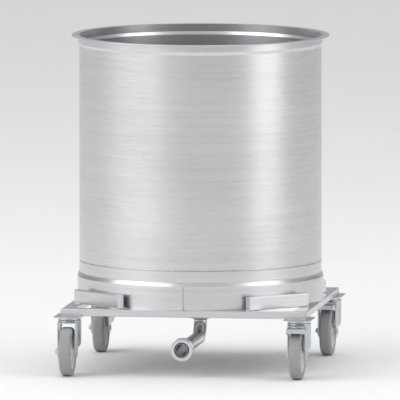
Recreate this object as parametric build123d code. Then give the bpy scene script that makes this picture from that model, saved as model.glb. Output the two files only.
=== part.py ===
from build123d import *
import os
from math import radians, sqrt, tan

# Conical-bottomed steel tank standing loose on a four-castor dolly. Millimetres, +Z up, floor at 0.
# +X is the right-hand side, the drain points to -Y. Pieces are built about the tank's axis and
# moved along Y at the end, so that the origin lies under the middle of the whole.

# Tank
tank_radius = 310.0        # outside of the shell
tank_height = 678.0        # deck of the dolly to the top of the rim
sheet = 2.0                # wall of the shell, bottom and skirt
neck_step = 2.5            # the belled neck stands this far outside the shell
neck_depth = 19.0          # top of the rim to the lower end of the neck's wall
neck_taper = 8.0           # height of the taper between neck and shell
rim_width = 17.5           # flat rim, from the neck's outside to its own edge
rim_sheet = 2.0
rim_edge = 0.8             # rounding of the rim's outer edge
cone_angle = 17.0          # slope of the conical bottom, degrees
cone_drop = 53.6           # deck to the outlet below it
knuckle_radius = 34.0      # outside bend between the cone and the straight flange
skirt_step = 5.0           # the skirt stands this far outside the shell
skirt_lap = 7.5            # straight flange that the skirt's top edge reaches up
swage_height = 8.0         # the skirt's top, drawn in to the flange
flange_show = 31.5         # straight flange left bare between skirt and shell

# Drain
pipe_radius = 17.0
pipe_wall = 1.5
elbow_radius = 44.0        # centre line
outlet_reach = 345.0       # tank axis to the face of the union
union_radius = 29.0        # crest of the round thread
union_length = 25.0
union_chamfer = 1.5
seat_radius = 19.0         # recess for the sealing ring
seat_depth = 3.0
seal_fit = 0.1             # seal inside its recess
seal_step = 0.8            # seal's bore stands this far outside the pipe's
seal_proud = 0.6           # seal in front of the union's face
seal_round = 0.5

# Dolly frame
beam_width = 35.0
beam_height = 18.0
beam_wall = 2.0
beam_corner = 2.5          # outside corner radius of tube and bar
bar_lap = 9.2              # locating bar's end, measured past the beam's inner edge
bar_height = 35.0
bar_thickness = 18.0
bar_gap = 0.5              # skirt to locating bar

# Castors
wheel_radius = 62.5
tyre_width = 30.0
tyre_depth = 17.0
tyre_shoulder = 7.0
trail = 39.0               # swivel axis to axle
swivel_inset = 20.0        # frame's outer edge to swivel axis
plate_width = 71.0
plate_length = 99.0
plate_thickness = 2.5
plate_corner = 7.0
cup_radius = 28.0          # pressed cup of the swivel head
cup_height = 7.5
race_gap = 1.5             # cup to crown
race_inset = 4.5           # cup's edge to the middle of the ball row
ball_radius = 3.0
ball_count = 16
ball_clearance = 0.05
crown_lap = 2.0            # the crown is this much larger than the cup
crown_thickness = 5.0
crown_gap = 9.5            # tyre to crown
fork_sheet = 3.0
fork_half = 24.0           # outside of a leg
fork_blend = 15.0          # leg to crown, in plan
boss_radius = 16.0         # rounded end of a leg
leg_rise = 3.5             # the curved rear edge passes this far above the axle
kingpin_radius = 6.0
kingpin_head = 10.0        # countersunk head radius
kingpin_foot = 15.0        # foot under the crown
foot_thickness = 4.5
foot_gap = 0.3
running_fit = 0.05
seat_fit = 0.02

# Wheels
hub_radius = 14.0
hub_gap = 1.0              # hub to leg
web_thickness = 7.0
rim_depth = 5.0
core_inset = 2.0           # core's rim inside the tyre's side
sleeve_radius = 6.0
bolt_radius = 4.0
bolt_head_radius = 7.5
bolt_head = 3.0
bolt_head_round = 1.8
nut_flats = 13.0
nut_height = 6.5
thread_end = 1.0

# Brakes of the two right-hand castors
brake_pin_radius = 2.5
brake_pin_back = 9.0       # leg's front edge to the pin
brake_pin_drop = 5.0       # crown's underside to the pin
brake_pin_proud = 0.8
pedal_sheet = 2.0
pedal_clear = 1.5          # crown's underside to the pedal, and leg to the pedal's lug
pedal_half = 21.5
pedal_reach = 47.0         # pin to the pedal's front lip
pedal_step = 4.0           # leg's front edge to the wide part of the pedal
lug_radius = 4.0
lip_height = 11.0
cheek_height = 16.0
shoe_half = 11.0
shoe_length = 10.0
shoe_start = 11.0          # pin to the shoe's rear face
shoe_gap = 4.2             # shoe to tread, brake off

# Worked out from the sizes above
neck_radius = tank_radius + neck_step
mouth_radius = neck_radius - sheet
rim_radius = neck_radius + rim_width
skirt_radius = tank_radius + skirt_step
half_side = skirt_radius
pipe_bore = pipe_radius - pipe_wall
bar_inside = skirt_radius + bar_gap
bar_length = 2 * (sqrt(2) * (half_side - beam_width + bar_lap) - bar_inside)
race_radius = cup_radius - race_inset
crown_radius = cup_radius + crown_lap
crown_bottom = 2 * wheel_radius + crown_gap
crown_top = crown_bottom + crown_thickness
cup_bottom = crown_top + race_gap
plate_bottom = cup_bottom + cup_height
castor_height = plate_bottom + plate_thickness
deck = castor_height + beam_height
rim_top = deck + tank_height
outlet_z = deck - cone_drop
drain_z = outlet_z - elbow_radius
corner_z = outlet_z + (tank_radius - pipe_radius) * tan(radians(cone_angle))
flange_end = corner_z + knuckle_radius * tan(radians((90 - cone_angle) / 2))
skirt_top = flange_end + skirt_lap
seam_z = skirt_top + flange_show
swivel_x = half_side - swivel_inset
fork_front = trail + boss_radius
leg_inside = fork_half - fork_sheet
core_radius = wheel_radius - tyre_depth
pin_y = brake_pin_back - fork_front
pin_z = crown_bottom - brake_pin_drop
axis_y = (trail + wheel_radius - plate_length / 2) / 2


def save(name, shape):
    export_step(Pos(0, axis_y, 0) * shape, "parts/" + name + ".step")


def solid_of_revolution(points):
    return revolve(Plane.XZ * make_face(Polyline(*points, close=True)), Axis.Z)


def ring(outer, inner, low, high):
    wall = Cylinder(outer, high - low) - Cylinder(inner, high - low)
    return Pos(0, 0, (low + high) / 2) * wall


def along_x(radius, low, high):
    return Pos((low + high) / 2, 0, 0) * Rot(0, 90, 0) * Cylinder(radius, high - low)


# Tank

def rim_ring():
    flat = ring(rim_radius, mouth_radius, rim_top - rim_sheet, rim_top)
    return fillet(flat.edges().filter_by(GeomType.CIRCLE).group_by(SortBy.RADIUS)[-1], rim_edge)


def tank_shell():
    neck_low = rim_top - neck_depth
    taper_low = neck_low - neck_taper
    return solid_of_revolution([
        (tank_radius, seam_z), (tank_radius, taper_low), (neck_radius, neck_low),
        (neck_radius, rim_top - rim_sheet), (mouth_radius, rim_top - rim_sheet),
        (mouth_radius, neck_low), (tank_radius - sheet, taper_low), (tank_radius - sheet, seam_z)])


def cone_bottom():
    slope = tan(radians(cone_angle))
    lift = sheet * sqrt(1 + slope * slope)      # sheet measured upright through the slope
    inside = tank_radius - sheet
    inside_corner = (inside, corner_z - sheet * slope + lift)
    section = make_face(Polyline(
        (pipe_radius, outlet_z), (tank_radius, corner_z), (tank_radius, seam_z), (inside, seam_z),
        inside_corner, (pipe_bore, outlet_z + (pipe_bore - pipe_radius) * slope + lift),
        (pipe_bore, outlet_z), close=True))
    outer_bend = section.vertices().sort_by_distance((tank_radius, corner_z))[0]
    section = fillet(outer_bend, knuckle_radius)
    inner_bend = section.vertices().sort_by_distance(inside_corner)[0]
    section = fillet(inner_bend, knuckle_radius - sheet)
    return revolve(Plane.XZ * section, Axis.Z)


def skirt_ring():
    swage_low = skirt_top - swage_height
    return solid_of_revolution([
        (skirt_radius, deck), (skirt_radius, swage_low), (tank_radius + sheet, skirt_top),
        (tank_radius, skirt_top), (skirt_radius - sheet, swage_low), (skirt_radius - sheet, deck)])


def drain_elbow():
    section = Pos(0, 0, outlet_z) * (Circle(pipe_radius) - Circle(pipe_bore))
    return revolve(section, Axis((0, -elbow_radius, outlet_z), (-1, 0, 0)), 90)


def drain_pipe():
    return ring(pipe_radius, pipe_bore, elbow_radius, outlet_reach - union_length)


def drain_union():
    face = outlet_reach
    body = ring(union_radius, pipe_bore, face - union_length, face)
    body = chamfer(body.edges().filter_by(GeomType.CIRCLE).group_by(SortBy.RADIUS)[-1], union_chamfer)
    return body - Pos(0, 0, face - seat_depth / 2) * Cylinder(seat_radius, seat_depth)


def drain_seal():
    back = outlet_reach - seat_depth
    seal = ring(seat_radius - seal_fit, pipe_bore + seal_step, back, outlet_reach + seal_proud)
    return fillet(seal.edges().filter_by(GeomType.CIRCLE).group_by(Axis.Z)[-1], seal_round)


def save_tank():
    save("rim_ring", rim_ring())
    save("tank_shell", tank_shell())
    save("cone_bottom", cone_bottom())
    save("skirt_ring", skirt_ring())
    save("drain_elbow", drain_elbow())
    towards_front = Pos(0, 0, drain_z) * Rot(90, 0, 0)
    save("drain_pipe", towards_front * drain_pipe())
    save("drain_union", towards_front * drain_union())
    save("drain_seal", towards_front * drain_seal())


# Dolly frame

def beam():
    # Tube along X on the -Y side of the square, mitred at both ends.
    outer = RectangleRounded(beam_width, beam_height, beam_corner)
    inner = RectangleRounded(beam_width - 2 * beam_wall, beam_height - 2 * beam_wall, beam_corner - beam_wall)
    tube = extrude(Plane.YZ * (outer - inner), half_side, both=True)
    tube = Pos(0, beam_width / 2 - half_side, castor_height + beam_height / 2) * tube
    near = (half_side, -half_side)
    far = (half_side - beam_width, beam_width - half_side)
    corners = [(-near[0], near[1]), near, far, (-far[0], far[1])]
    mitred = extrude(Plane.XY * make_face(Polyline(*corners, close=True)), deck)
    return tube & mitred


def locating_bar():
    # Bar on the -Y side, its inner face a little outside the skirt.
    section = RectangleRounded(bar_thickness, bar_height, beam_corner)
    bar = extrude(Plane.YZ * section, bar_length / 2, both=True)
    return Pos(0, -bar_inside - bar_thickness / 2, deck + bar_height / 2) * bar


def save_frame():
    for turn, side in enumerate(["front", "right", "rear", "left"]):
        save(side + "_beam", Rot(0, 0, 90 * turn) * beam())
    for turn, corner in enumerate(["front_right", "rear_right", "rear_left", "front_left"]):
        save(corner + "_bar", Rot(0, 0, 45 + 90 * turn) * locating_bar())


# Castors, each built about its swivel axis with the wheel trailing to -Y

def race_groove():
    middle = (crown_top + cup_bottom) / 2
    return Pos(0, 0, middle) * Torus(race_radius, ball_radius + ball_clearance)


def countersink(fit):
    middle = plate_bottom + plate_thickness / 2
    return Pos(0, 0, middle) * Cone(kingpin_radius + fit, kingpin_head + fit, plate_thickness)


def castor_plate():
    flat = extrude(RectangleRounded(plate_width, plate_length, plate_corner), plate_thickness)
    cup = ring(cup_radius, kingpin_radius + seat_fit, cup_bottom, plate_bottom)
    return Pos(0, 0, plate_bottom) * flat - countersink(seat_fit) + cup - race_groove()


def kingpin():
    foot_top = crown_bottom - foot_gap
    shank = Pos(0, 0, (foot_top + plate_bottom) / 2) * Cylinder(kingpin_radius, plate_bottom - foot_top)
    foot = Pos(0, 0, foot_top - foot_thickness / 2) * Cylinder(kingpin_foot, foot_thickness)
    return countersink(0) + shank + foot


def balls():
    middle = (crown_top + cup_bottom) / 2
    place = PolarLocations(race_radius, ball_count)
    return Compound(children=[Pos(0, 0, middle) * spot * Sphere(ball_radius) for spot in place])


def fork_plan(inset, front):
    # Round crown with two parallel sides run out to the front, seen from above.
    radius = crown_radius - inset
    half = fork_half - inset
    plan = Circle(radius) + Pos(0, -front / 2) * Rectangle(2 * half, front)
    notch = sqrt(radius * radius - half * half)
    joints = [plan.vertices().sort_by_distance((side * half, -notch))[0] for side in (1, -1)]
    return fillet(joints, fork_blend + inset)


def leg_side():
    # Side view of a leg: upright front edge, round boss at the axle, curved rear edge.
    curve = wheel_radius - leg_rise
    middle = -trail - leg_rise
    bend_top = 2 * wheel_radius
    corner = (Align.MIN, Align.MIN)
    sweep_back = Pos(middle, bend_top) * Circle(curve) & Pos(middle, bend_top - curve) * Rectangle(
        curve, curve, align=corner)
    shin = Pos(-fork_front, wheel_radius) * Rectangle(
        middle + fork_front, crown_bottom - wheel_radius, align=corner)
    brow = Pos(-fork_front, bend_top) * Rectangle(
        fork_front + middle + curve, crown_bottom - bend_top, align=corner)
    return shin + brow + sweep_back + Pos(-trail, wheel_radius) * Circle(boss_radius)


def fork(braked):
    legs = extrude(fork_plan(0, fork_front) - fork_plan(fork_sheet, 2 * fork_front), crown_bottom)
    legs = legs & extrude(Plane.YZ * leg_side(), crown_radius, both=True)
    web = Pos(0, 0, crown_bottom) * extrude(fork_plan(0, fork_front), fork_sheet)
    crown = ring(crown_radius, kingpin_radius + running_fit, crown_bottom, crown_top)
    bore = Pos(0, 0, crown_bottom) * Cylinder(kingpin_radius + running_fit, crown_top)
    body = legs + web + crown - bore - race_groove()
    body -= Pos(0, -trail, wheel_radius) * along_x(bolt_radius + seat_fit, -crown_radius, crown_radius)
    if braked:
        body -= Pos(0, pin_y, pin_z) * along_x(brake_pin_radius + seat_fit, -crown_radius, crown_radius)
    return body


def at_axle(shape):
    return Pos(0, -trail, wheel_radius) * shape


def axle_bolt():
    tip = fork_half + nut_height + thread_end
    shank = along_x(bolt_radius, -tip, fork_half)
    head = along_x(bolt_head_radius, fork_half, fork_half + bolt_head)
    head = fillet(head.edges().sort_by(Axis.X)[-1], bolt_head_round)
    return at_axle(shank + head)


def axle_nut():
    hexagon = RegularPolygon(nut_flats / 2, 6, major_radius=False) - Circle(bolt_radius + seat_fit)
    nut = extrude(Plane.YZ * hexagon, nut_height)
    return at_axle(Pos(-fork_half - nut_height, 0, 0) * nut)


def axle_sleeve():
    tube = along_x(sleeve_radius, -leg_inside, leg_inside)
    return at_axle(tube - along_x(bolt_radius + seat_fit, -leg_inside, leg_inside))


def wheel_core():
    hub = along_x(hub_radius, hub_gap - leg_inside, leg_inside - hub_gap)
    web = along_x(core_radius - rim_depth / 2, -web_thickness / 2, web_thickness / 2)
    rim_half = tyre_width / 2 - core_inset
    rim = along_x(core_radius, -rim_half, rim_half) - along_x(core_radius - rim_depth, -rim_half, rim_half)
    bore = along_x(sleeve_radius + running_fit, -leg_inside, leg_inside)
    return at_axle(hub + web + rim - bore)


def tyre():
    half = tyre_width / 2
    tread = along_x(wheel_radius, -half, half)
    tread = fillet(tread.edges().filter_by(GeomType.CIRCLE), tyre_shoulder)
    return at_axle(tread - along_x(core_radius + seat_fit, -half, half))


def brake_pin():
    reach = fork_half + brake_pin_proud
    return Pos(0, pin_y, pin_z) * along_x(brake_pin_radius, -reach, reach)


def brake_pedal():
    # Pressed plate over the tyre, built about its pin, with a lip, two cheeks and two lugs.
    top = brake_pin_drop - pedal_clear
    lug_out = leg_inside - pedal_clear
    wide_start = brake_pin_back + pedal_step
    hang = (Align.CENTER, Align.MAX, Align.MAX)
    neck = Box(2 * lug_out, wide_start - lug_radius, pedal_sheet, align=hang)
    wide = Box(2 * pedal_half, pedal_reach - wide_start, pedal_sheet, align=hang)
    lip = Box(2 * pedal_half, pedal_sheet, lip_height, align=(Align.CENTER, Align.MIN, Align.MAX))
    cheek = Plane.YZ * make_face(Polyline(
        (-pedal_reach, top), (-wide_start, top), (-wide_start, top - pedal_sheet),
        (-(pedal_reach + wide_start) / 2, top - cheek_height), (-pedal_reach, top - lip_height), close=True))
    bar = Pos(-wide_start, -lug_radius / 2) * Rectangle(
        wide_start, top + lug_radius / 2, align=(Align.MIN, Align.MIN))
    lug = Plane.YZ * (Circle(lug_radius) + bar)
    body = Pos(0, -lug_radius, top) * neck + Pos(0, -wide_start, top) * wide
    body += Pos(0, -pedal_reach, top) * lip
    for side in (-1, 1):
        body += Pos(side * (pedal_half - pedal_sheet / 2), 0, 0) * extrude(cheek, pedal_sheet / 2, both=True)
        body += Pos(side * (lug_out - pedal_sheet / 2), 0, 0) * extrude(lug, pedal_sheet / 2, both=True)
    body -= along_x(brake_pin_radius + running_fit, -pedal_half, pedal_half)
    return Pos(0, pin_y, pin_z) * body


def brake_shoe():
    under = brake_pin_drop - pedal_clear - pedal_sheet
    block = Box(2 * shoe_half, shoe_length, crown_gap, align=(Align.CENTER, Align.MAX, Align.MAX))
    block = Pos(0, pin_y - shoe_start, pin_z + under) * block
    return block - at_axle(along_x(wheel_radius + shoe_gap, -shoe_half, shoe_half))


def save_castors():
    swivel_y = half_side - swivel_inset
    pieces = {
        "castor_plate": castor_plate(), "kingpin": kingpin(), "balls": balls(),
        "axle_bolt": axle_bolt(), "axle_nut": axle_nut(), "axle_sleeve": axle_sleeve(),
        "wheel_core": wheel_core(), "tyre": tyre()}
    braked = {"brake_pin": brake_pin(), "brake_pedal": brake_pedal(), "brake_shoe": brake_shoe()}
    for corner, side, end in [("fl", -1, -1), ("fr", 1, -1), ("rl", -1, 1), ("rr", 1, 1)]:
        place = Pos(side * swivel_x, end * swivel_y, 0)
        has_brake = side > 0
        save(corner + "_fork", place * fork(has_brake))
        for name, shape in pieces.items():
            save(corner + "_" + name, place * shape)
        if has_brake:
            for name, shape in braked.items():
                save(corner + "_" + name, place * shape)


os.makedirs("parts", exist_ok=True)
save_tank()
save_frame()
save_castors()
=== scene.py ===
from math import atan2, cos, radians, sin, sqrt, tau

import bmesh
import bpy
from mathutils import Matrix, Vector


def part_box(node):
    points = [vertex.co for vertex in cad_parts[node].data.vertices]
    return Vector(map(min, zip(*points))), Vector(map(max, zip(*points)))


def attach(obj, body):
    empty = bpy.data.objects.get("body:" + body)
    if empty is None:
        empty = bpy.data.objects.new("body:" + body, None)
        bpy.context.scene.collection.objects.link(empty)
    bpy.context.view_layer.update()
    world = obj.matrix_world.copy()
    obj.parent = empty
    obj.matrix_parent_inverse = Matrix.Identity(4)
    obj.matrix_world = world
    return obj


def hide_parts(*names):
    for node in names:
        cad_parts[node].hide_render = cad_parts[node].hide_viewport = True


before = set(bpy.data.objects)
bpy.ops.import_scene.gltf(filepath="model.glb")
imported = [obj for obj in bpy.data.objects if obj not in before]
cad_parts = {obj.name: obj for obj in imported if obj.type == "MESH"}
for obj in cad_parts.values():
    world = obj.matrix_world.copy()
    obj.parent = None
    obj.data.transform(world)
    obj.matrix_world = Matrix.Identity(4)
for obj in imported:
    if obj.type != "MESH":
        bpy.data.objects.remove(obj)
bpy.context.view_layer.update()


# ---- Camera ----
# A long lens far away, so that upright edges stay upright, a little to the right of the front
# and a little above. It takes in the whole tank and its dolly.

shell_low, shell_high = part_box("tank_shell")
tank_axis = Vector(((shell_low.x + shell_high.x) / 2, (shell_low.y + shell_high.y) / 2, 0))
view_azimuth = radians(8)
view_elevation = radians(5.6)
view_width = 1.024
view_level = 0.4213           # height that the middle of the view looks at
axis_right = 0.0013           # the tank's axis stands this far right of the middle
lens_length = 1500            # millimetres

towards_camera = Vector((
    sin(view_azimuth) * cos(view_elevation),
    -cos(view_azimuth) * cos(view_elevation),
    sin(view_elevation)))
view_right = Vector((cos(view_azimuth), sin(view_azimuth), 0))
camera = bpy.data.objects.new("camera", bpy.data.cameras.new("camera"))
bpy.context.scene.collection.objects.link(camera)
camera.data.lens = lens_length
camera_distance = view_width * lens_length / camera.data.sensor_width
camera.data.clip_end = 3 * camera_distance
looked_at = tank_axis + Vector((0, 0, view_level)) - view_right * axis_right
camera.location = looked_at + towards_camera * camera_distance
camera.rotation_mode = "QUATERNION"
camera.rotation_quaternion = towards_camera.to_track_quat("Z", "Y")
bpy.context.scene.camera = camera


# ---- Tank shell ----
# A cylinder rolled from 2 mm stainless sheet with a belled neck, in a satin finish whose fine
# grain runs round the tank.

class Signal:
    """A value running through a material, so that sums on it are written as sums."""

    def __init__(self, finish, socket):
        self.finish = finish
        self.socket = socket

    def maths(self, operation, first, second):
        return self.finish.node("Math", {"operation": operation}, {0: first, 1: second})

    def __add__(self, other):
        return self.maths("ADD", self, other)

    def __sub__(self, other):
        return self.maths("SUBTRACT", self, other)

    def __rsub__(self, other):
        return self.maths("SUBTRACT", other, self)

    def __mul__(self, other):
        return self.maths("MULTIPLY", self, other)

    __radd__ = __add__
    __rmul__ = __mul__


class Finish:
    """A material in the making: its shader, its nodes and the place on the piece."""

    def __init__(self, name, constants):
        self.material = bpy.data.materials.new(name)
        self.material.use_nodes = True
        self.shader = self.material.node_tree.nodes["Principled BSDF"]
        for socket, value in constants.items():
            self.shader.inputs[socket].default_value = value
        self.place = self.node("TexCoord", {}, {}, "Object")

    def node(self, kind, settings, values, output=0):
        made = self.material.node_tree.nodes.new("ShaderNode" + kind)
        for setting, value in settings.items():
            setattr(made, setting, value)
        for socket, value in values.items():
            self.feed(made.inputs[socket], value)
        return Signal(self, made.outputs[output])

    def feed(self, socket, value):
        if isinstance(value, Signal):
            self.material.node_tree.links.new(value.socket, socket)
        else:
            socket.default_value = value

    def drawn_out(self, stretch, turn=0.0):
        """The place on the piece, for a pattern drawn out this many times along each axis."""
        return self.node("Mapping", {"vector_type": "TEXTURE"}, {
            "Vector": self.place, "Rotation": (0, 0, turn), "Scale": stretch})

    def round_axis(self, centre, turn):
        """Distance from an axis and height along it. turn lays that axis along Z."""
        place = self.node("Mapping", {"vector_type": "TEXTURE"}, {
            "Vector": self.place, "Location": centre, "Rotation": turn})
        flat = self.node("VectorMath", {"operation": "MULTIPLY"}, {0: place, 1: (1, 1, 0)})
        distance = self.node("VectorMath", {"operation": "LENGTH"}, {0: flat}, "Value")
        height = self.node("SeparateXYZ", {}, {0: place}, "Z")
        return self.node("CombineXYZ", {}, {0: distance, 2: height})

    def noise(self, place, scale, detail=2.0):
        """Noise from 0 to 1 with this many grains to the metre."""
        return self.node("TexNoise", {}, {"Vector": place, "Scale": scale, "Detail": detail})

    def ramp(self, signal, low, high):
        """0 below low, 1 above high, and smooth between."""
        return self.node("MapRange", {"interpolation_type": "SMOOTHSTEP"}, {
            "Value": signal, "From Min": low, "From Max": high})

    def blend(self, mask, colour_a, colour_b):
        return self.node("Mix", {"data_type": "RGBA"}, {0: mask, 6: colour_a, 7: colour_b}, 2)

    def done(self, colour, roughness, height, depth):
        """Joins up the sockets that vary and gives the material. depth is the bump's, in metres."""
        bump = self.node("Bump", {}, {"Height": height, "Distance": depth})
        self.feed(self.shader.inputs["Base Color"], colour)
        self.feed(self.shader.inputs["Roughness"], roughness)
        self.feed(self.shader.inputs["Normal"], bump)
        return self.material


steel_pale = (0.68, 0.69, 0.70, 1)
steel_dark = (0.57, 0.58, 0.595, 1)
sheet_wave = 7                # how much deeper the sheet's slow waves are than its scratches


def satin(steel, grain, roughness):
    """Satin stainless whose grain follows the given place."""
    streaks = steel.noise(grain, 140)
    scratches = steel.noise(grain, 1300, 3.0)
    clouds = steel.noise(steel.place, 5)
    shade = steel.ramp(streaks * 0.25 + scratches * 0.45 + clouds * 0.3, 0.34, 0.66)
    colour = steel.blend(shade, steel_dark, steel_pale)
    rough = roughness + (clouds - 0.5) * 0.1 + (scratches - 0.5) * 0.16
    return steel.done(colour, rough, scratches + clouds * sheet_wave, depth=0.00004)


def drawn_steel(name, stretch, turn=0.0, roughness=0.3):
    """Satin stainless with straight grain, drawn out along the axes that stretch is large on."""
    steel = Finish(name, {"Metallic": 1.0})
    return satin(steel, steel.drawn_out(stretch, turn), roughness)


def wear(finish, *nodes):
    """Gives nodes of the frame a finish."""
    for node in nodes:
        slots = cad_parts[node].data.materials
        slots.clear()
        slots.append(finish)


grain_length = 60             # grains are this many times as long as they are wide
rolled_steel = drawn_steel("rolled_steel", (grain_length, grain_length, 1))
wear(rolled_steel, "tank_shell", "skirt_ring")


# ---- Welds of the shell ----
# TIG butt welds, ground flush inside and planished outside, where a smooth low bead shows: one
# upright at the back, up through the neck, and one round the foot where the bottom's flange
# joins on.

def weld_metal():
    """The silvery, slightly rippled metal of a bead."""
    metal = Finish("weld_metal", {"Metallic": 1.0})
    blots = metal.noise(metal.place, 260)
    pits = metal.noise(metal.place, 1400)
    tone = metal.ramp(blots, 0.35, 0.65)
    colour = metal.blend(tone, (0.36, 0.36, 0.37, 1), (0.52, 0.52, 0.53, 1))
    return metal.done(colour, 0.36 + (blots - 0.5) * 0.2, pits, depth=0.0002)


weld_finish = weld_metal()


def new_piece(name, shape, body, finish, sharp=40):
    """Makes a bmesh a piece that rides on a body. Edges of more than sharp degrees stay hard."""
    for face in shape.faces:
        face.smooth = True
    mesh = bpy.data.meshes.new(name)
    shape.to_mesh(mesh)
    shape.free()
    mesh.set_sharp_from_angle(angle=radians(sharp))
    mesh.materials.append(finish)
    piece = bpy.data.objects.new(name, mesh)
    bpy.context.scene.collection.objects.link(piece)
    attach(piece, body)
    return piece


def linked(verts, kind):
    """The edges or faces that vertices belong to, each once and in a steady order."""
    return list(dict.fromkeys(item for vert in verts for item in getattr(vert, "link_" + kind)))


def tube_along(shape, ring, start, run, steps):
    """Sweeps a closed ring of vertices along a straight run and closes both ends."""
    swept = bmesh.ops.spin(
        shape, geom=ring + linked(ring, "edges"), cent=start, axis=run.normalized(),
        dvec=run / steps, angle=0, steps=steps)
    last = [item for item in swept["geom_last"] if isinstance(item, bmesh.types.BMVert)]
    bmesh.ops.contextual_create(shape, geom=ring)
    bmesh.ops.contextual_create(shape, geom=last)


def facing(along, across):
    """A turn that lays Z along a run and X across it."""
    along = along.normalized()
    across = (across - along * across.dot(along)).normalized()
    return Matrix((across, along.cross(across), along)).transposed().to_4x4()


ripple_pitch = 0.0022
ripple_steps = 4              # rings of the mesh to one ripple
smooth_steps = 24             # rings of the mesh along a bead without ripples
bead_fade = 0.35              # how much thinner a rippled bead is at its very ends
fade_power = 12               # the higher, the closer to the ends it thins


def straight_weld(shape, start, end, across, half_width, half_height, ripple=0.0):
    """Adds a bead with an oval section from start to end. A rippled one thins at its ends."""
    run = end - start
    steps = round(run.length / ripple_pitch) * ripple_steps if ripple else smooth_steps
    place = Matrix.Translation(start) @ facing(run, across)
    section = Matrix.Diagonal((half_width, half_height, 1, 1))
    before = set(shape.verts)
    ring = bmesh.ops.create_circle(shape, segments=10, radius=1, matrix=place @ section)["verts"]
    tube_along(shape, ring, start, run, steps)
    if not ripple:
        return
    for vert in set(shape.verts) - before:
        away = (vert.co - start).dot(run) / run.length
        middle = start + run * (away / run.length)
        swell = 1 + ripple * cos(tau * away / ripple_pitch)
        fade = bead_fade * abs(2 * away / run.length - 1) ** fade_power
        vert.co = middle + (vert.co - middle) * (swell - fade)


def ring_weld(name, centre, axis, radius, half_width, half_height, steps=192, finish=weld_finish):
    """A bead with an oval section round an axis, on the tank."""
    axis = axis.normalized()
    outwards = axis.orthogonal().normalized()
    shape = bmesh.new()
    place = Matrix.Translation(centre + outwards * radius) @ facing(axis.cross(outwards), axis)
    section = Matrix.Diagonal((half_width, half_height, 1, 1))
    ring = bmesh.ops.create_circle(shape, segments=12, radius=1, matrix=place @ section)["verts"]
    bmesh.ops.spin(
        shape, geom=ring + list(shape.edges), cent=centre, axis=axis, angle=tau, steps=steps,
        use_merge=True)
    bmesh.ops.recalc_face_normals(shape, faces=shape.faces)
    return new_piece(name, shape, "tank", finish)


up = Vector((0, 0, 1))
right = Vector((1, 0, 0))
back = Vector((0, 1, 0))
sheet = 0.002
planished = 0.0003            # a brushed-over weld stands this far proud
butt_half_width = 0.0024
cone_low, cone_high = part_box("cone_bottom")
rim_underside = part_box("rim_ring")[0].z
shell_radius = (cone_high.x - cone_low.x) / 2
bead_radius = shell_radius - sheet / 2 + planished
neck_depth = 0.019
taper_depth = 0.008
neck_radius = (shell_high.x - shell_low.x) / 2
neck_bead_radius = neck_radius - sheet / 2 + planished
taper_top = shell_high.z - neck_depth

shell_seam = bmesh.new()
seam_line = [
    tank_axis + back * bead_radius + up * shell_low.z,
    tank_axis + back * bead_radius + up * (taper_top - taper_depth),
    tank_axis + back * neck_bead_radius + up * taper_top,
    tank_axis + back * neck_bead_radius + up * rim_underside]
for start, end in zip(seam_line, seam_line[1:]):
    straight_weld(shell_seam, start, end, right, butt_half_width, sheet / 2)
bmesh.ops.recalc_face_normals(shell_seam, faces=shell_seam.faces)
new_piece("shell_seam_weld", shell_seam, "tank", weld_finish)
ring_weld(
    "shell_foot_weld", tank_axis + up * shell_low.z, up, bead_radius, butt_half_width, sheet / 2)


# ---- Rim ----
# A flat ring cut from 2 mm stainless sheet. It is welded on top of the neck and brushed round
# and round.

def turned_steel(name, centre, turn=(0, 0, 0), roughness=0.3):
    """Satin stainless with its grain in rings round an axis through centre."""
    steel = Finish(name, {"Metallic": 1.0})
    return satin(steel, steel.round_axis(centre, turn), roughness)


turned_round_tank = turned_steel("turned_round_tank", tank_axis)
wear(turned_round_tank, "rim_ring")
rim_bead = 0.0018
ring_weld("rim_weld", tank_axis + up * rim_underside, up, neck_radius, rim_bead, rim_bead)


# ---- Conical bottom ----
# Spun from 2 mm stainless sheet: a shallow cone with its outlet in the middle, a knuckle and a
# straight flange, which is butt welded to the foot of the shell.

wear(turned_round_tank, "cone_bottom")


# ---- Skirt welds ----
# The skirt is a rolled strip that carries the tank. Its ends meet in an upright butt weld at the
# front, and its drawn-in top edge is welded all round to the flange of the bottom and brushed over.

skirt_low, skirt_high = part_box("skirt_ring")
skirt_radius = (skirt_high.x - skirt_low.x) / 2
swage_height = 0.008
skirt_seam = bmesh.new()
skirt_line = tank_axis - back * (skirt_radius - sheet / 2 + planished)
straight_weld(
    skirt_seam, skirt_line + up * skirt_low.z, skirt_line + up * (skirt_high.z - swage_height),
    right, butt_half_width, sheet / 2)
bmesh.ops.recalc_face_normals(skirt_seam, faces=skirt_seam.faces)
new_piece("skirt_seam_weld", skirt_seam, "tank", weld_finish)
top_bead_height = 0.0010
ring_weld(
    "skirt_top_weld", tank_axis + up * skirt_high.z, up, shell_radius + top_bead_height / 2,
    butt_half_width, top_bead_height, finish=rolled_steel)


# ---- Drain ----
# A stainless tube bend and a straight tube, butt welded under the outlet, end in a male union
# with a round thread. A black nitrile ring lies in the recess in its face.

outlet_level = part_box("drain_elbow")[1].z
pipe_low, pipe_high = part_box("drain_pipe")
union_low, union_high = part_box("drain_union")
pipe_radius = (pipe_high.x - pipe_low.x) / 2
pipe_wall = 0.0015
drain_axis = Vector((tank_axis.x, 0, (union_low.z + union_high.z) / 2))
tube_roughness = 0.24
tube_grain = 40               # the tubes' grains are shorter than the sheet's
turned_round_drain = turned_steel(
    "turned_round_drain", drain_axis, (radians(90), 0, 0), roughness=tube_roughness)
wear(
    drawn_steel("drain_tube_steel", (1, tube_grain, tube_grain), roughness=tube_roughness),
    "drain_elbow")
wear(drawn_steel("drain_pipe_steel", (1, tube_grain, 1), roughness=tube_roughness), "drain_pipe")

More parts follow.
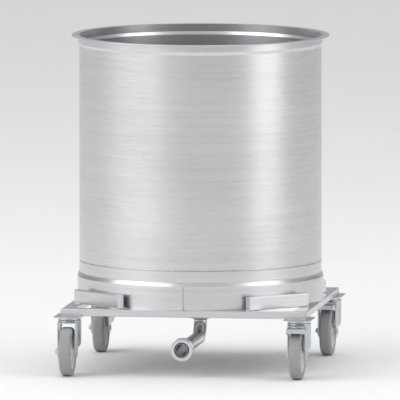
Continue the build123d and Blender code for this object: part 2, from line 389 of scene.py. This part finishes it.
mid_wall = pipe_radius - pipe_wall / 2
pipe_bead_proud = 0.0005
pipe_bead_height = pipe_wall / 2 + pipe_bead_proud
pipe_bead_width = 0.0019
drain_steps = 96              # rings of the mesh round the drain
for name, centre, axis, radius in [
        ("outlet_weld", tank_axis + up * outlet_level, up, mid_wall),
        ("elbow_weld", drain_axis + back * pipe_high.y, back, mid_wall),
        ("union_weld", drain_axis + back * union_high.y, back, pipe_radius)]:
    ring_weld(name, centre, axis, radius, pipe_bead_width, pipe_bead_height, drain_steps)

crest_radius = (union_high.x - union_low.x) / 2
union_length = union_high.y - union_low.y
thread_pitch = 0.00423        # six turns to the inch
thread_depth = 0.0020
thread_length = 0.016
thread_rows = 10              # rows of the mesh to one turn
recess_radius = 0.019
recess_depth = 0.003
edge_round = 0.0008
one_point = 0.000001          # vertices closer than this are merged


def ring_of(shape, points):
    """Adds a closed outline of vertices and edges."""
    verts = [shape.verts.new(point) for point in points]
    for vert, following in zip(verts, verts[1:] + verts[:1]):
        shape.edges.new((vert, following))
    return verts


def rounded_off(shape, corners, radius, segments=3):
    """Rounds corners of an outline."""
    bmesh.ops.bevel(
        shape, geom=corners, offset=radius, segments=segments, profile=0.5, affect="VERTICES",
        material=-1)


def turned(shape, centre, axis, steps):
    """Turns an outline all the way round an axis and leaves its faces pointing outwards."""
    bmesh.ops.spin(
        shape, geom=list(shape.verts) + list(shape.edges), cent=centre, axis=axis, angle=tau,
        steps=steps, use_merge=True)
    bmesh.ops.remove_doubles(shape, verts=shape.verts, dist=one_point)
    bmesh.ops.recalc_face_normals(shape, faces=shape.faces)


def union_outline(along, outwards):
    """A point of the union's outline: along its axis from the face, and out from the axis."""
    return drain_axis + back * (union_low.y + along) + up * outwards


union = bmesh.new()
bore = pipe_radius - pipe_wall
corners = ring_of(union, [
    union_outline(union_length, bore), union_outline(recess_depth, bore),
    union_outline(recess_depth, recess_radius), union_outline(0, recess_radius),
    union_outline(0, crest_radius), union_outline(union_length, crest_radius)])
rounded_off(union, corners[2:], edge_round)
barrel = max(union.edges, key=lambda edge: min((vert.co - drain_axis).z for vert in edge.verts))
bmesh.ops.subdivide_edges(
    union, edges=[barrel], cuts=round(union_length / thread_pitch * thread_rows))
turned(union, drain_axis, back, drain_steps)
for vert in union.verts:
    out = vert.co - drain_axis
    along = vert.co.y - union_low.y
    out.y = 0
    if out.length > crest_radius - edge_round / 4:
        wave = 0.5 - 0.5 * cos(tau * along / thread_pitch - atan2(out.z, out.x))
        ends = min(1, max(0, along / thread_pitch), max(0, (thread_length - along) / thread_pitch))
        vert.co -= out.normalized() * thread_depth * wave * ends
new_union = new_piece(
    "threaded_union", union, "tank", turned_round_drain, sharp=50)
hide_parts("drain_union")


def rubber(name, pale, dark, shine=0.35):
    """Moulded rubber: even in colour, with a little bloom and fine specks."""
    moulded = Finish(name, {"Specular IOR Level": shine})
    bloom = moulded.noise(moulded.place, 35, 4.0)
    specks = moulded.noise(moulded.place, 1800)
    colour = moulded.blend(moulded.ramp(bloom * 0.6 + specks * 0.4, 0.3, 0.7), dark, pale)
    return moulded.done(colour, 0.66 + (bloom - 0.5) * 0.12, specks, depth=0.00012)


wear(rubber("seal_rubber", (0.055, 0.055, 0.06, 1), (0.035, 0.035, 0.04, 1)), "drain_seal")


# ---- Dolly frame ----
# Four stainless box tubes, mitred and welded into a square, with their grain running along each
# tube. The welds are ground low on the flats and left rippled down the corners.

wear(drawn_steel("beam_steel_across", (grain_length, 1, 1)), "front_beam", "rear_beam")
wear(drawn_steel("beam_steel_along", (1, grain_length, 1)), "left_beam", "right_beam")

frame_low, frame_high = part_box("front_beam")
half_side = (frame_high.x - frame_low.x) / 2
beam_width = frame_high.y - frame_low.y
beam_corner = 0.0025
mitre_half_width = 0.0018
mitre_half_height = 0.0005
mitre_stop = 0.001            # the flat beads stop this far short of the corner's bead
corner_bead_width = 0.0022
corner_bead_height = 0.0014
weld_ripple = 0.12
corner_signs = [(-1, -1), (1, -1), (1, 1), (-1, 1)]
mitre_welds = bmesh.new()
for sign_x, sign_y in corner_signs:
    outer = tank_axis + Vector((sign_x, sign_y, 0)) * (half_side - beam_corner / 3)
    inner = tank_axis + Vector((sign_x, sign_y, 0)) * (half_side - beam_width)
    sideways = Vector((sign_x, -sign_y, 0))
    outwards = Vector((sign_x, sign_y, 0))
    for level in (frame_high.z, frame_low.z):
        straight_weld(
            mitre_welds, inner + up * level, outer - outwards * mitre_stop + up * level,
            sideways, mitre_half_width, mitre_half_height)
    straight_weld(
        mitre_welds, outer + up * (frame_low.z + beam_corner),
        outer + up * (frame_high.z - beam_corner), sideways, corner_bead_width, corner_bead_height,
        weld_ripple)
bmesh.ops.recalc_face_normals(mitre_welds, faces=mitre_welds.faces)
new_piece("mitre_welds", mitre_welds, "root", weld_finish)


# ---- Locating bars ----
# Four solid stainless bars across the frame's corners keep the skirt in its place. Their ends
# rest on the tubes and are welded down with short rippled beads.

flat_within = radians(0.5)    # faces that meet at less than this are joined into one
sharp_from = radians(35)      # edges that turn by more than this are rounded


def softened(name, node, body, finish, width):
    """A copy of a node with its sharp edges rounded, standing for it."""
    shape = bmesh.new()
    shape.from_mesh(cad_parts[node].data)
    bmesh.ops.remove_doubles(shape, verts=shape.verts, dist=one_point)
    bmesh.ops.dissolve_limit(
        shape, angle_limit=flat_within, verts=shape.verts, edges=shape.edges,
        use_dissolve_boundaries=False)
    hard_edges = [edge for edge in shape.edges
                  if len(edge.link_faces) == 2 and edge.calc_face_angle() > sharp_from]
    bmesh.ops.bevel(
        shape, geom=hard_edges, offset=width, segments=2, profile=0.5, affect="EDGES",
        clamp_overlap=True, material=-1)
    bmesh.ops.triangulate(shape, faces=[face for face in shape.faces if len(face.verts) > 4])
    piece = new_piece(name, shape, body, finish, sharp=30)
    flat_faces = piece.modifiers.new("flat_faces", "WEIGHTED_NORMAL")
    flat_faces.keep_sharp = True
    flat_faces.weight = 100
    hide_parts(node)


bar_edge = 0.0006
for corner, turn in [
        ("front_right", 45), ("rear_right", -45), ("rear_left", 45), ("front_left", -45)]:
    along_bar = drawn_steel(corner + "_bar_steel", (grain_length, 1, 1), radians(turn))
    softened(corner + "_locating_bar", corner + "_bar", "root", along_bar, bar_edge)

bar_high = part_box("front_right_bar")[1]
bar_thickness = 0.018
bar_clearance = 0.0005        # between the skirt and each bar
bar_inside = skirt_radius + bar_clearance
bar_outside = bar_inside + bar_thickness
bar_end = (bar_high.x - tank_axis.x) * sqrt(2) - bar_outside
resting_from = (half_side - beam_width) * sqrt(2) - bar_outside
bar_bead = 0.0026
bar_welds = bmesh.new()
for sign_x, sign_y in corner_signs:
    outwards = Vector((sign_x, sign_y, 0)).normalized()
    sideways = Vector((-sign_y, sign_x, 0)).normalized()
    foot = tank_axis + up * frame_high.z
    for side in (-1, 1):
        first = foot + sideways * side * (resting_from + bar_bead) + outwards * bar_outside
        bar_corner = foot + sideways * side * bar_end + outwards * bar_outside
        last = foot + sideways * side * bar_end + outwards * bar_inside
        straight_weld(bar_welds, first, bar_corner, outwards, bar_bead, bar_bead, weld_ripple)
        straight_weld(bar_welds, bar_corner, last, sideways, bar_bead, bar_bead, weld_ripple)
bmesh.ops.recalc_face_normals(bar_welds, faces=bar_welds.faces)
new_piece("bar_welds", bar_welds, "root", weld_finish)


# ---- Castor plates and kingpins ----
# Each castor's top plate and the cup of its swivel head are pressed from zinc-plated steel, and
# the plate is welded to the underside of two tubes. A countersunk pin holds the swivel head.

def bright_metal(name, pale, dark, roughness):
    """Zinc plating or bare hard steel, with faint clouds and a soft orange-peel surface."""
    metal = Finish(name, {"Metallic": 1.0})
    clouds = metal.noise(metal.place, 28)
    grains = metal.noise(metal.place, 650)
    colour = metal.blend(metal.ramp(clouds * 0.5 + grains * 0.5, 0.3, 0.7), dark, pale)
    return metal.done(colour, roughness + (clouds - 0.5) * 0.12, grains, depth=0.00008)


castor_zinc = bright_metal("castor_zinc", (0.64, 0.66, 0.69, 1), (0.53, 0.55, 0.58, 1), 0.30)
castor_signs = {"fl": (-1, -1), "fr": (1, -1), "rl": (-1, 1), "rr": (1, 1)}
plate_edge = 0.0004
plate_bead = 0.0022
for castor, (sign_x, sign_y) in castor_signs.items():
    softened(
        castor + "_top_plate", castor + "_castor_plate", "root", castor_zinc,
        plate_edge)
    wear(castor_zinc, castor + "_kingpin")
    plate_low, plate_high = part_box(castor + "_castor_plate")
    far_x = plate_low.x if sign_x > 0 else plate_high.x
    far_y = plate_low.y if sign_y > 0 else plate_high.y
    plate_welds = bmesh.new()
    for reach in (half_side, half_side - beam_width):
        mitre = Vector((tank_axis.x + sign_x * reach, tank_axis.y + sign_y * reach, frame_low.z))
        for start, across in [
                (Vector((mitre.x, far_y, mitre.z)), right), (Vector((far_x, mitre.y, mitre.z)), back)]:
            straight_weld(plate_welds, start, mitre, across, plate_bead, plate_bead, weld_ripple)
    bmesh.ops.recalc_face_normals(plate_welds, faces=plate_welds.faces)
    new_piece(castor + "_plate_welds", plate_welds, "root", weld_finish)


# ---- Castor forks ----
# Each fork is pressed from 3 mm zinc-plated steel: a round crown that turns under the cup on a
# row of hardened balls, and two legs that trail down to the axle.

ball_finish = bright_metal("ball_steel", (0.75, 0.75, 0.76, 1), (0.62, 0.62, 0.63, 1), 0.12)
ball_count = 16
fork_edge = 0.0005
for castor in castor_signs:
    softened(
        castor + "_pressed_fork", castor + "_fork", castor + "_swivel", castor_zinc,
        fork_edge)
    balls_low, balls_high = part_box(castor + "_balls")
    race_centre = (balls_low + balls_high) / 2
    ball_radius = (balls_high.z - balls_low.z) / 2
    first_ball = race_centre + right * (balls_high.x - race_centre.x - ball_radius)
    balls = bmesh.new()
    bmesh.ops.create_icosphere(
        balls, subdivisions=3, radius=ball_radius, matrix=Matrix.Translation(first_ball))
    bmesh.ops.spin(
        balls, geom=list(balls.verts) + list(balls.edges) + list(balls.faces), cent=race_centre,
        axis=up, angle=tau * (ball_count - 1) / ball_count, steps=ball_count - 1,
        use_duplicate=True)
    ball_row = new_piece(
        castor + "_ball_row", balls, castor + "_swivel", ball_finish, sharp=60)
    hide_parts(castor + "_balls")


# ---- Axles ----
# A round-headed bolt, a sleeve that the wheel turns on and a self-locking nut, all zinc plated.
# The nut is a chamfered hexagon with a round collar that holds its nylon ring.

fastener_zinc = bright_metal("fastener_zinc", (0.60, 0.62, 0.64, 1), (0.50, 0.52, 0.54, 1), 0.26)
collar_length = 0.0018
collar_foot = 0.93            # the collar's radii, as parts of the radius to the nut's flats
collar_crown = 0.86
collar_corner = 0.0004
chamfer_from = 0.98           # the radius where the chamfers start, as such a part too
chamfer_lean = radians(30)
chamfer_cuts = 24             # flat cuts that make up the cone of each chamfer
on_cut_within = 0.0000001     # vertices closer to a cut than this lie on it
for castor in castor_signs:
    wear(fastener_zinc, castor + "_axle_bolt", castor + "_axle_sleeve")
    nut_low, nut_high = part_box(castor + "_axle_nut")
    nut_axis = (nut_low + nut_high) / 2
    corner_radius = max(nut_high.y - nut_low.y, nut_high.z - nut_low.z) / 2
    flat_radius = min(nut_high.y - nut_low.y, nut_high.z - nut_low.z) / 2
    flats_up = nut_high.z - nut_low.z < nut_high.y - nut_low.y
    hexagon_length = nut_high.x - nut_low.x - collar_length
    nut = bmesh.new()
    bmesh.ops.create_cone(
        nut, cap_ends=True, segments=6, radius1=corner_radius, radius2=corner_radius,
        depth=hexagon_length, matrix=Matrix.Rotation(radians(0 if flats_up else 30), 4, "Z"))
    for side in (-1, 1):
        for cut in range(chamfer_cuts):
            turn = tau * (cut + 0.5) / chamfer_cuts
            outwards = Vector((cos(turn), sin(turn), 0))
            slope = outwards * sin(chamfer_lean) + up * side * cos(chamfer_lean)
            on_cut = outwards * flat_radius * chamfer_from + up * side * hexagon_length / 2
            parted = bmesh.ops.bisect_plane(
                nut, geom=list(nut.verts) + list(nut.edges) + list(nut.faces),
                dist=on_cut_within, plane_co=on_cut, plane_no=slope, clear_outer=True)["geom_cut"]
            rim_edges = [item for item in parted if isinstance(item, bmesh.types.BMEdge)]
            if rim_edges:
                bmesh.ops.holes_fill(nut, edges=rim_edges)
    collar = bmesh.ops.create_cone(
        nut, cap_ends=True, segments=48, radius1=flat_radius * collar_foot,
        radius2=flat_radius * collar_crown, depth=collar_length * 2,
        matrix=Matrix.Translation(up * hexagon_length / 2))["verts"]
    crown = max(linked(collar, "faces"), key=lambda face: face.calc_center_median().z)
    bmesh.ops.bevel(
        nut, geom=list(crown.edges), offset=collar_corner, segments=2, profile=0.5,
        affect="EDGES", material=-1)
    place = Matrix.Translation((nut_high.x - hexagon_length / 2, nut_axis.y, nut_axis.z))
    bmesh.ops.transform(
        nut, matrix=place @ Matrix.Rotation(radians(-90), 4, "Y"), verts=nut.verts)
    bmesh.ops.recalc_face_normals(nut, faces=nut.faces)
    new_nut = new_piece(
        castor + "_locking_nut", nut, castor + "_swivel", fastener_zinc,
        sharp=20)
    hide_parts(castor + "_axle_nut")


# ---- Wheel centres ----
# Moulded in pale polypropylene: a hub, a thin web with eight ribs on each face, and the rim
# that the tyre is moulded on to.

def moulded_plastic():
    """Polypropylene: milky, faintly cloudy and spark-eroded to a fine texture."""
    plastic = Finish("wheel_plastic", {"Specular IOR Level": 0.4})
    clouds = plastic.noise(plastic.place, 18)
    spark = plastic.noise(plastic.place, 2400)
    colour = plastic.blend(
        plastic.ramp(clouds, 0.25, 0.75), (0.66, 0.66, 0.645, 1), (0.74, 0.74, 0.72, 1))
    return plastic.done(colour, 0.45 + (clouds - 0.5) * 0.1, spark, depth=0.00006)


plastic_finish = moulded_plastic()
hub_length = 0.020            # each way from the middle, as all widths of the wheel are
hub_bore = 0.00605
hub_top = 0.0136
hub_foot = 0.0148
web_half = 0.0035
rim_half = 0.013
rim_outside = 0.0455
rim_foot = 0.0398
rim_lip = 0.0415
hub_corner = 0.0008
rib_corner = 0.0006
rib_count = 8
rib_thickness = 0.0024
rib_hub_height = 0.0145
rib_rim_height = 0.0105
buried = 0.001                # a rib's ends lie this deep in the hub and the rim
core_steps = 96               # rings of the mesh round the centre


def wheel_outline(centre, half):
    """Points of a wheel's outline: its list on the right, outwards from the axle, and mirrored."""
    mirrored = [(-along, outwards) for along, outwards in reversed(half)]
    return [centre + Vector((along, 0, outwards)) for along, outwards in half + mirrored]


for castor in castor_signs:
    core_low, core_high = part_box(castor + "_wheel_core")
    axle = (core_low + core_high) / 2
    core = bmesh.new()
    corners = ring_of(core, wheel_outline(axle, [
        (hub_length, hub_bore), (hub_length, hub_top), (web_half, hub_foot), (web_half, rim_foot),
        (rim_half, rim_lip), (rim_half, rim_outside)]))
    rounded_off(core, corners, hub_corner)
    turned(core, axle, right, core_steps)
    round_part = set(core.verts)
    for side in (-1, 1):
        rib = bmesh.ops.create_cube(core, size=1)["verts"]
        for vert in rib:
            at_rim, free = vert.co.z > 0, vert.co.x * side > 0
            height = rib_rim_height if at_rim else rib_hub_height
            vert.co = axle + Vector((
                side * (height if free else web_half / 2), vert.co.y * rib_thickness,
                rim_lip + buried if at_rim else hub_top - buried))
        top_edges = [
            edge for edge in linked(rib, "edges")
            if all(abs(vert.co.x - axle.x) > web_half for vert in edge.verts)
            and abs(edge.verts[0].co.z - edge.verts[1].co.z) > rib_thickness]
        bmesh.ops.bevel(
            core, geom=top_edges, offset=rib_corner, segments=2, profile=0.5, affect="EDGES",
            material=-1)
    ribs = [vert for vert in core.verts if vert not in round_part]
    bmesh.ops.spin(
        core, geom=ribs + linked(ribs, "edges") + linked(ribs, "faces"), cent=axle, axis=right,
        angle=tau * (rib_count - 1) / rib_count, steps=rib_count - 1, use_duplicate=True)
    bmesh.ops.recalc_face_normals(core, faces=core.faces)
    new_core = new_piece(
        castor + "_ribbed_centre", core, castor + "_wheel", plastic_finish,
        sharp=30)
    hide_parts(castor + "_wheel_core")


# ---- Tyres ----
# Light grey non-marking rubber moulded on to the centre: rounded shoulders, a groove round each
# side wall and the fine line where the two halves of the mould met.

tyre_finish = rubber("tyre_rubber", (0.35, 0.35, 0.355, 1), (0.30, 0.30, 0.305, 1))
tyre_half = 0.015
foot_half = 0.0146            # the side wall tapers in to this at its foot
foot_radius = 0.0470
wall_radius = 0.0490
groove_inside = 0.0502
groove_outside = 0.0524
groove_depth = 0.0008
groove_slope = 0.0006         # how far each side of the groove leans
wall_corner = 0.00025
tyre_shoulder = 0.007
mould_line = 0.0002           # height of the line, and half its width at the top
mould_line_foot = 0.0005      # half its width at the foot
tyre_steps = 128              # rings of the mesh round the tyre
for castor in castor_signs:
    tyre_low, tyre_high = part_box(castor + "_tyre")
    axle = (tyre_low + tyre_high) / 2
    line_radius = (tyre_high.z - tyre_low.z) / 2
    tread = line_radius - mould_line
    tyre = bmesh.new()
    corners = ring_of(tyre, wheel_outline(axle, [
        (rim_half, rim_outside), (foot_half, foot_radius), (tyre_half, wall_radius),
        (tyre_half, groove_inside), (tyre_half - groove_depth, groove_inside + groove_slope),
        (tyre_half - groove_depth, groove_outside - groove_slope), (tyre_half, groove_outside),
        (tyre_half, tread), (mould_line_foot, tread), (mould_line, line_radius)]))
    shoulders = [vert for vert in corners if abs(vert.co.z - axle.z - tread) < mould_line / 2
                 and abs(vert.co.x - axle.x) > tyre_half / 2]
    wall_corners = [vert for vert in corners if vert.co.z - axle.z < tread - tyre_shoulder]
    rounded_off(tyre, wall_corners, wall_corner, 2)
    rounded_off(tyre, shoulders, tyre_shoulder, 8)
    turned(tyre, axle, right, tyre_steps)
    new_tyre = new_piece(
        castor + "_moulded_tyre", tyre, castor + "_wheel", tyre_finish, sharp=30)
    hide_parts(castor + "_tyre")


# ---- Brakes ----
# On the right-hand castors a pressed pedal turns on a pin through the fork, and pushes a block
# of dark rubber on to the tread.

shoe_finish = rubber("shoe_rubber", (0.09, 0.09, 0.09, 1), (0.06, 0.06, 0.06, 1))
pedal_edge = 0.0004
for castor in ("fr", "rr"):
    softened(
        castor + "_pressed_pedal", castor + "_brake_pedal", castor + "_brake",
        castor_zinc, pedal_edge)
    wear(fastener_zinc, castor + "_brake_pin")
    wear(shoe_finish, castor + "_brake_shoe")


# ---- Floor and light ----
# A wide, flat floor of pale matt paint in a pale room, lit from all round. Two tall panels and
# one overhead draw soft bands on the steel.

floor_size = 80.0
floor_shape = bmesh.new()
bmesh.ops.create_grid(floor_shape, x_segments=1, y_segments=1, size=floor_size / 2)
floor_mesh = bpy.data.meshes.new("floor")
floor_shape.to_mesh(floor_mesh)
floor_shape.free()
floor_finish = Finish("floor", {})
floor_tone = floor_finish.noise(floor_finish.place, 3)
floor_colour = floor_finish.blend(floor_tone, (0.86, 0.86, 0.86, 1), (0.90, 0.90, 0.90, 1))
floor_mesh.materials.append(
    floor_finish.done(floor_colour, 0.7, floor_tone, depth=0.0001))
floor = bpy.data.objects.new("floor", floor_mesh)
bpy.context.scene.collection.objects.link(floor)


def light_panel(name, place, aim, width, height, power):
    """A rectangular lamp turned towards a point. power is in watts."""
    data = bpy.data.lights.new(name, "AREA")
    data.shape = "RECTANGLE"
    data.size, data.size_y = width, height
    data.energy = power
    panel = bpy.data.objects.new(name, data)
    panel.location = place
    panel.rotation_mode = "QUATERNION"
    panel.rotation_quaternion = (place - aim).to_track_quat("Z", "Y")
    bpy.context.scene.collection.objects.link(panel)


aim = tank_axis + up * 0.45
light_panel("left_panel", Vector((-5.8, -4.0, 4.0)), aim, width=7.2, height=6.1, power=300)
light_panel("right_panel", Vector((6.1, -1.8, 3.2)), aim, width=4.0, height=6.1, power=130)
light_panel("top_panel", Vector((0, 1.1, 7.0)), aim, width=5.4, height=5.4, power=95)


class Surround(Finish):
    """The room round the object, drawn by the direction looked in."""

    def __init__(self, room):
        self.material = room
        self.place = self.node("TexCoord", {}, {}, "Generated")


world = bpy.data.worlds.new("studio")
bpy.context.scene.world = world
world.use_nodes = True
studio = Surround(world)
rise = studio.node("SeparateXYZ", {}, {0: studio.place}, "Z")
walls = studio.blend(studio.ramp(rise, 0.1, 0.7), (0.42, 0.43, 0.45, 1), (1.0, 1.0, 1.0, 1))
background = world.node_tree.nodes["Background"]
background.inputs["Strength"].default_value = 0.8
studio.feed(
    background.inputs["Color"],
    studio.blend(studio.ramp(rise, 0.03, 0.1), (0.80, 0.80, 0.81, 1), walls))
bpy.context.scene.view_settings.view_transform = "Standard"
